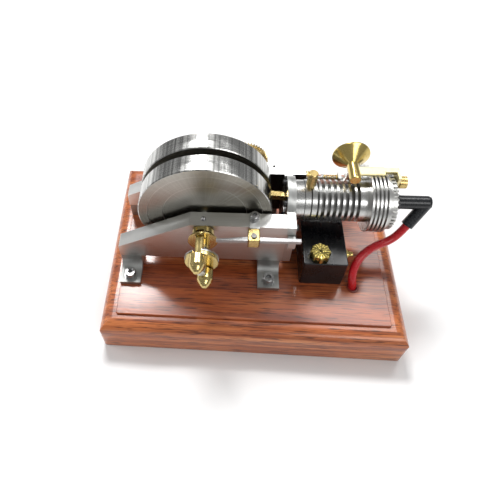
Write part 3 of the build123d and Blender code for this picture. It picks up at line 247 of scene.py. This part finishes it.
def flywheel_metal():
    """Turned steel disc: ringed faces with a painted fan of sheen and painted highlight lines at two steps, and a
    polished rim with marks and painted reflection bands across it.
    """
    look = Look("flywheel_metal", Metallic=1.0, Anisotropic=0.45)
    tone = (0.46, 0.448, 0.41)
    radius = look.radius_about(0, CRANK.x, CRANK.z)
    rim = look.span(radius, WHEEL_R - 0.7 * MM, WHEEL_R - 0.4 * MM)
    rings = look.add("ShaderNodeTexNoise", "Fac", {"noise_dimensions": "1D"}, W=look.math("MULTIPLY", radius, 2400),
                     Scale=1.0, Detail=4.0, Roughness=0.7)
    parts = look.split()
    angle = look.math("ARCTAN2", look.math("SUBTRACT", parts["Z"], CRANK.z),
                      look.math("SUBTRACT", parts["X"], CRANK.x))
    marks_and_reflections = look.add("ShaderNodeTexNoise", "Fac", {"noise_dimensions": "1D"}, W=look.math("MULTIPLY", angle, 18),
                       Scale=1.0, Detail=4.0, Roughness=0.6)
    turning = look.add("ShaderNodeTexNoise", "Fac", {"noise_dimensions": "1D"},
                       W=look.math("MULTIPLY", parts["Y"], 3800), Scale=1.0, Detail=2.0, Roughness=0.6)
    # painted reflection: the face is darker in two opposite sectors, a fan of anisotropic sheen drawn into its colour
    doubled = look.math("MULTIPLY", look.math("SUBTRACT", angle, 0.5), 2.0)
    painted_sheen_fan = look.math("MULTIPLY", look.math("ADD", look.math("COSINE", doubled), 1.0), 0.5)
    face = look.blend(look.span(rings, 0.3, 0.7, 0.0, 0.45), tone, (0.24, 0.225, 0.19))
    face = look.blend(look.math("MULTIPLY", painted_sheen_fan, 0.55), face, (0.22, 0.205, 0.165))
    face = look.blend(look.span(marks_and_reflections, 0.45, 0.75, 0.0, 0.15), face, (0.72, 0.71, 0.67))
    # painted highlights: thin bright lines along the two steps of each face
    for line in STEP_HIGHLIGHT_RADII:
        off_highlight = look.math("ABSOLUTE", look.math("SUBTRACT", radius, line))
        face = look.blend(look.span(off_highlight, 0.15 * MM, 0.4 * MM, 0.8, 0.0), face, (0.86, 0.85, 0.80))
    # the rim's light and dark bands across it are painted reflection, laid over fine polishing marks
    rim_marks_and_reflections = look.blend(look.span(marks_and_reflections, 0.35, 0.65, 0.0, 0.75), (0.66, 0.66, 0.64), (0.15, 0.15, 0.145))
    look.colour(look.blend(rim, face, rim_marks_and_reflections))
    look.rough(look.blend(rim, look.span(rings, 0.3, 0.7, 0.27, 0.4), look.span(turning, 0.3, 0.7, 0.16, 0.3)))
    look.bump(look.blend(rim, rings, turning), 0.03 * MM, 0.6)
    return look.material


def brass(name, tone, dark, rough, wear):
    """Brass with darker worn clouds."""
    look = Look(name, Metallic=1.0)
    cloud = look.noise((180, 180, 180), detail=5, roughness=0.65)
    fine = look.noise((1400, 1400, 1400), detail=2)
    shade = look.blend(look.span(cloud, 0.42, 0.72, 0.0, wear), tone, dark)
    shade = look.blend(look.span(fine, 0.5, 0.75, 0.0, 0.2), shade, dark)
    look.colour(shade)
    look.rough(look.math("ADD", look.span(cloud, 0.35, 0.75, rough - 0.05, rough + 0.14),
                         look.span(fine, 0.4, 0.7, 0.0, 0.05)))
    look.bump(fine, 0.02 * MM, 0.3)
    return look.material


def fluted_brass():
    """Brass cap: radial grooves on its top, drawn by bump with painted shade in them, and a small dark vent of
    painted shade.
    """
    look = Look("fluted_brass", Metallic=1.0)
    cap = centre("tank_cap")
    parts = look.split()
    x, y = look.math("SUBTRACT", parts["X"], cap.x), look.math("SUBTRACT", parts["Y"], cap.y)
    radius = look.math("SQRT", look.math("ADD", look.math("MULTIPLY", x, x), look.math("MULTIPLY", y, y)))
    wave = look.math("COSINE", look.math("MULTIPLY", look.math("ARCTAN2", y, x), CAP_GROOVES))
    # painted shade in the radial grooves, which are bump only
    painted_groove_shade = look.math("MULTIPLY", look.span(wave, -0.9, 0.1, 1.0, 0.0), look.span(radius, 1.2 * MM, 2.0 * MM))
    # painted shade of a small vent hole: a black spot at the centre
    painted_vent_shade = look.span(radius, 0.5 * MM, 0.75 * MM, 1.0, 0.0)
    cloud = look.noise((420, 420, 420), detail=4, roughness=0.65)
    shade = look.blend(look.span(cloud, 0.42, 0.68, 0.0, 0.55), (0.74, 0.62, 0.20), (0.34, 0.25, 0.05))
    shade = look.blend(look.math("MULTIPLY", painted_groove_shade, 0.8), shade, (0.13, 0.09, 0.02))
    look.colour(look.blend(painted_vent_shade, shade, (0.01, 0.01, 0.01)))
    look.rough(look.span(cloud, 0.35, 0.7, 0.2, 0.36))
    look.bump(wave, 0.25 * MM, 0.7)
    return look.material


def shaded_plate(name, tone, face_y):
    """Brushed plate whose inner face, at a level of Y, darkens toward the cylinder.

    The photo shows black there, which is probably shade; the dark tone stands in for it.
    """
    look = Look(name, Metallic=1.0, Anisotropic=0.35)
    marks = look.noise((25, 2600, 2600), detail=3, roughness=0.7)
    patches = look.noise((45, 45, 45), detail=3)
    shade = look.blend(look.span(marks, 0.3, 0.7, 0.0, 0.25), tone, tuple(c * 0.7 for c in tone))
    parts = look.split()
    inner = look.math("MULTIPLY", look.span(parts["Y"], face_y + 0.02 * MM, face_y + 0.12 * MM, 1.0, 0.0),
                      look.span(parts["X"], CRANK.x - 10 * MM, CRANK.x + 15 * MM))
    look.colour(look.blend(inner, shade, (0.06, 0.06, 0.062)))
    look.rough(look.math("ADD", look.span(marks, 0.3, 0.7, 0.34, 0.48), look.span(patches, 0.35, 0.7, 0.0, 0.06)))
    look.bump(marks, 0.02 * MM, 0.35)
    return look.material


def milled(name, tone, rough=0.34):
    """Machined metal with a fine all-round grain, for fins, shafts and small parts."""
    look = Look(name, Metallic=1.0)
    grain = look.noise((1900, 1900, 1900), detail=3, roughness=0.7)
    cloud = look.noise((150, 150, 150), detail=4)
    shade = look.blend(look.span(grain, 0.35, 0.7, 0.0, 0.25), tone, tuple(c * 0.5 for c in tone))
    shade = look.blend(look.span(cloud, 0.4, 0.7, 0.0, 0.3), shade, tuple(c * 0.62 for c in tone))
    look.colour(shade)
    look.rough(look.math("ADD", look.span(grain, 0.3, 0.7, rough - 0.07, rough + 0.08),
                         look.span(cloud, 0.4, 0.7, 0.0, 0.08)))
    look.bump(grain, 0.02 * MM, 0.4)
    return look.material


def finned(name, tone, rough=0.26):
    """Machined metal with painted shade that gets darker toward the roots of the cooling fins."""
    look = Look(name, Metallic=1.0)
    radius = look.radius_about(1, AXIS_Y, AXIS_Z)
    # painted shade between the fins, darker toward their roots
    root_shade = look.span(radius, FIN_R - 2.6 * MM, FIN_R - 0.9 * MM, 0.78, 0.0)
    grain = look.noise((1900, 1900, 1900), detail=3, roughness=0.7)
    cloud = look.noise((150, 150, 150), detail=4)
    shade = look.blend(look.span(grain, 0.35, 0.7, 0.0, 0.25), tone, tuple(c * 0.5 for c in tone))
    shade = look.blend(look.span(cloud, 0.4, 0.7, 0.0, 0.3), shade, tuple(c * 0.6 for c in tone))
    look.colour(look.blend(root_shade, shade, (0.10, 0.10, 0.095)))
    look.rough(look.math("ADD", look.span(grain, 0.3, 0.7, rough - 0.07, rough + 0.08),
                         look.math("MULTIPLY", root_shade, 0.15)))
    look.bump(grain, 0.02 * MM, 0.4)
    return look.material


def painted(name, tone, rough, coat):
    """Paint over sheet metal, with a slight orange peel and dulled patches."""
    look = Look(name, Coat_Weight=coat, Coat_Roughness=0.12, Specular_IOR_Level=0.3)
    peel = look.noise((700, 700, 700), detail=2)
    cloud = look.noise((90, 90, 90), detail=4)
    look.colour(look.blend(look.span(cloud, 0.35, 0.75), tone, tuple(c * 1.9 + 0.004 for c in tone)))
    look.rough(look.math("ADD", look.span(cloud, 0.3, 0.7, rough - 0.06, rough + 0.1),
                         look.span(peel, 0.3, 0.7, 0.0, 0.05)))
    look.bump(peel, 0.03 * MM, 0.3)
    return look.material


def soft(name, tone, rough, speck=1.7, grain=900):
    """Rubber, silicone or moulded plastic with a faint grain."""
    look = Look(name)
    fine = look.noise((grain, grain, grain), detail=3, roughness=0.65)
    cloud = look.noise((120, 120, 120), detail=4)
    shade = look.blend(look.span(cloud, 0.35, 0.7), tone, tuple(min(1.0, c * speck + 0.003) for c in tone))
    look.colour(look.blend(look.span(fine, 0.5, 0.8, 0.0, 0.35), shade, tuple(c * 0.6 for c in tone)))
    look.rough(look.span(fine, 0.3, 0.7, rough - 0.07, rough + 0.1))
    look.bump(fine, 0.04 * MM, 0.35)
    return look.material


def plug_finish():
    """Spark plug: nickel shell and terminal, glazed white insulator between them."""
    look = Look("plug_finish")
    x = look.split()["X"]
    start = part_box("head_ring")[1].x - 1.5 * MM
    white = look.math("MULTIPLY", look.span(x, start, start + 0.05 * MM),
                      look.span(x, start + 9.4 * MM, start + 9.5 * MM, 1.0, 0.0))
    cloud = look.noise((300, 300, 300), detail=4)
    metal = look.blend(look.span(cloud, 0.35, 0.7), (0.55, 0.54, 0.52), (0.32, 0.31, 0.30))
    glaze = look.blend(look.span(cloud, 0.35, 0.7), (0.80, 0.79, 0.75), (0.70, 0.69, 0.66))
    look.colour(look.blend(white, metal, glaze))
    look.put(look.shader.inputs["Metallic"], look.math("SUBTRACT", 1.0, white))
    look.rough(look.span(cloud, 0.3, 0.7, 0.2, 0.34))
    return look.material


STEEL = (0.60, 0.595, 0.57)
ALUMINIUM = (0.66, 0.66, 0.645)
finishes = {
    "wood": wood(),
    "board": soft("cover_board", srgb(38, 34, 32), 0.6, grain=1500),
    "black_plastic": soft("black_plastic", srgb(26, 26, 28), 0.45),
    "grommet": soft("grommet_rubber", srgb(104, 40, 26), 0.4),
    "plate": brushed("brushed_plate", (0.74, 0.74, 0.72), "x", rough=0.31),
    "rear_plate": shaded_plate("rear_plate", (0.90, 0.90, 0.885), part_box("rear_side_plate")[0].y),
    "plate_y": brushed("brushed_feet", (0.62, 0.625, 0.61), "y", rough=0.33),
    "feet": brushed("foot_metal", (0.46, 0.465, 0.45), "y", rough=0.5),
    "flywheel": flywheel_metal(),
    "steel": milled("machined_steel", STEEL, 0.27),
    "screw": milled("screw_steel", (0.42, 0.42, 0.42), 0.3),
    "dark_pin": milled("dark_pin", (0.16, 0.155, 0.15), 0.34),
    "black_screw": milled("black_oxide", (0.07, 0.07, 0.072), 0.38),
    "fins": finned("fin_aluminium", ALUMINIUM),
    "piston": milled("piston_aluminium", ALUMINIUM, 0.27),
    "ring": milled("ring_steel", (0.62, 0.62, 0.60), 0.3),
    "brass": brass("yellow_brass", (0.72, 0.56, 0.20), (0.30, 0.20, 0.06), 0.17, 0.35),
    "pale_brass": brass("pale_brass", (0.88, 0.78, 0.46), (0.60, 0.48, 0.22), 0.36, 0.25),
    "fuel_cap": fluted_brass(),
    "gear_brass": turned("gear_brass", (0.62, 0.50, 0.27), centre("cam_gear").x, AXIS_Z, rough=0.25),
    "pinion": turned("pinion_steel", STEEL, CRANK.x, CRANK.z, rough=0.25),
    "governor": turned("governor_brass", (0.66, 0.52, 0.22), CRANK.x, CRANK.z, rough=0.17, streak=0.22),
    "knob": brass("knob_brass", (0.62, 0.47, 0.20), (0.28, 0.19, 0.07), 0.24, 0.45),
    "tank": painted("black_tank", srgb(8, 9, 12), 0.26, coat=0.2),
    "boot": soft("boot_rubber", srgb(26, 28, 31), 0.27),
    "lead": soft("lead_silicone", srgb(190, 24, 34), 0.28, speck=1.2, grain=700),
    "plug": plug_finish(),
    "spring": milled("spring_wire", (0.50, 0.50, 0.50), 0.28),
}

dressed = {
    "wood": ["wood_base"],
    "board": ["base_cover"],
    "black_plastic": ["ignition_module"],
    "grommet": ["lead_grommet"],
    "plate": ["front_side_plate"],
    "rear_plate": ["rear_side_plate"],
    "feet": ["feet"],
    "plate_y": ["cross_plate", "pushrod_guide", "rocker_bracket", "lever_strip", "latch_block"],
    "flywheel": ["front_flywheel", "rear_flywheel"],
    "steel": ["crank_stubs", "cam_shaft", "piston_rings", "wrist_pin", "crank_pin", "pushrod", "rocker_arm",
              "exhaust_valve"],
    "screw": ["foot_washers", "foot_screws", "oil_plugs", "lever_screw", "governor_lever", "governor_washer"],
    "dark_pin": ["hinge_pins", "governor_pins"],
    "black_screw": ["small_screws"],
    "fins": ["cylinder"],
    "piston": ["cylinder_head", "piston"],
    "ring": ["head_ring"],
    "brass": ["bell_mouth", "tank_outlet", "crank_bushes", "carb_barrel"],
    "pale_brass": ["carb_block"],
    "fuel_cap": ["tank_cap"],
    "gear_brass": ["cam_gear"],
    "pinion": ["timing_pinion"],
    "governor": ["governor_hub", "governor_weight_upper", "governor_weight_lower", "governor_spool", "governor_disc"],
    "knob": ["needle_screw", "oil_cup", "oil_cup_lid", "connecting_rod", "lever_block"],
    "tank": ["fuel_tank"],
    "boot": ["plug_boot"],
    "plug": ["spark_plug"],
}


def dress(thing, finish):
    thing.data.materials.clear()
    thing.data.materials.append(finishes[finish])


for finish, names in dressed.items():
    for name in names:
        dress(nodes[name], finish)


# ---- spark lead ---------------------------------------------------------------------
LEAD_ROUTE = [
    (94.0, -4.6, 56.7), (90.0, -8.0, 51.3), (84.0, -10.8, 47.6), (77.1, -13.5, 46.9), (71.1, -17.7, 47.1),
    (66.0, -22.0, 44.4), (63.1, -26.6, 39.9), (62.8, -30.7, 34.1), (64.6, -33.0, 27.6), (64.6, -33.0, 13.5),
]
LEAD_D = 5.0 * MM


def spark_lead():
    data = bpy.data.curves.new("spark_lead", "CURVE")
    data.dimensions = "3D"
    data.bevel_depth = LEAD_D / 2
    data.bevel_resolution = 8
    data.resolution_u = 16
    data.use_fill_caps = True
    line = data.splines.new("NURBS")
    line.points.add(len(LEAD_ROUTE) - 1)
    for point, place in zip(line.points, LEAD_ROUTE):
        point.co = (*(c * MM for c in place), 1.0)
    line.order_u = 3
    line.use_endpoint_u = True
    lead = bpy.data.objects.new("spark_lead", data)
    bpy.context.scene.collection.objects.link(lead)
    dress(lead, "lead")
    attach(lead, "frame")
    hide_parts("ht_lead")


spark_lead()


# ---- coil springs -------------------------------------------------------------------
def coil(name, node, body, turns, wire, along=1, finish="spring"):
    """A wire coil along Y (or X, with along=0) that fills the space of its CAD tube.
    """
    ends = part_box(node)
    low, high = ends
    middle = (low + high) / 2
    across = 1 - along
    radius = (high.z - low.z) / 2 - wire / 2
    start, end = low[along] + wire / 2, high[along] - wire / 2
    data = bpy.data.curves.new(name, "CURVE")
    data.dimensions = "3D"
    data.bevel_depth = wire / 2
    data.bevel_resolution = 5
    data.use_fill_caps = True
    line = data.splines.new("NURBS")
    steps = int(turns * POINTS_PER_TURN)
    line.points.add(steps)
    for i, point in enumerate(line.points):
        share = i / steps
        eased = min(1.0, max(0.0, (share * turns - END_TURNS) / (turns - 2 * END_TURNS)))
        angle = 2 * math.pi * turns * share
        place = Vector((0, 0, middle.z + radius * math.sin(angle)))
        place[along] = start + (end - start) * eased
        place[across] = middle[across] + radius * math.cos(angle)
        point.co = (*place, 1.0)
    line.order_u = 4
    line.use_endpoint_u = True
    drawn = bpy.data.objects.new(name + "_line", data)
    bpy.context.scene.collection.objects.link(drawn)
    bpy.context.view_layer.update()
    mesh = bpy.data.meshes.new_from_object(drawn.evaluated_get(bpy.context.evaluated_depsgraph_get()))
    bpy.data.objects.remove(drawn)
    mesh.shade_smooth()
    wire_coil = bpy.data.objects.new(name, mesh)
    bpy.context.scene.collection.objects.link(wire_coil)
    dress(wire_coil, finish)
    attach(wire_coil, body)
    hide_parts(node)
    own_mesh(wire_coil)


coil("governor_coil", "governor_spring", "crank", 6.5, 0.7 * MM)
coil("valve_coil", "exhaust_spring", "frame", 4.2, 0.5 * MM)
coil("pushrod_coil", "pushrod_spring", "frame", 7.5, 0.6 * MM, along=0,
     finish="knob")


# ---- stage --------------------------------------------------------------------------
def stage():
    bpy.ops.mesh.primitive_plane_add(size=8.0, location=(0, 0, -FLOOR_GAP))
    floor = bpy.context.object
    floor.name = "floor"
    look = Look("pale_floor", Roughness=0.8)
    cloud = look.noise((6, 6, 6), detail=3)
    look.colour(look.ramp(cloud, [(0.3, (0.90, 0.90, 0.90)), (0.7, (0.93, 0.93, 0.93))]))
    floor.data.materials.append(look.material)


# name, place, aim, size and power; "beyond" makes the glare on the right of the panel
LIGHTS = [
    ("behind", (-0.2, 0.6, 1.0), (0, 0, 0.04), (0.35, 0.25), 11.0),
    ("beyond", (0.36, 0.43, 0.86), (0.08, -0.03, 0.016), (0.24, 0.28), 2.0),
    ("left", (-0.9, 0.1, 0.6), (0, 0, 0.05), (0.35, 0.5), 2.6),
    ("front", (0.5, -0.8, 0.8), (0, 0, 0.05), (0.6, 0.4), 3.4),
]


def soft_light(name, place, aim, size, power):
    data = bpy.data.lights.new(name, "AREA")
    data.shape = "RECTANGLE"
    data.size, data.size_y = size
    data.energy = power
    light = bpy.data.objects.new(name, data)
    bpy.context.scene.collection.objects.link(light)
    light.location = place
    light.rotation_euler = (Vector(aim) - Vector(place)).to_track_quat("-Z", "Y").to_euler()


def lighting():
    world = bpy.data.worlds.new("studio")
    bpy.context.scene.world = world
    world.use_nodes = True
    world.node_tree.nodes["Background"].inputs["Color"].default_value = (1.0, 1.0, 1.0, 1.0)
    world.node_tree.nodes["Background"].inputs["Strength"].default_value = WORLD_STRENGTH
    for light in LIGHTS:
        soft_light(*light)
    bpy.context.scene.view_settings.view_transform = "Standard"


stage()
lighting()
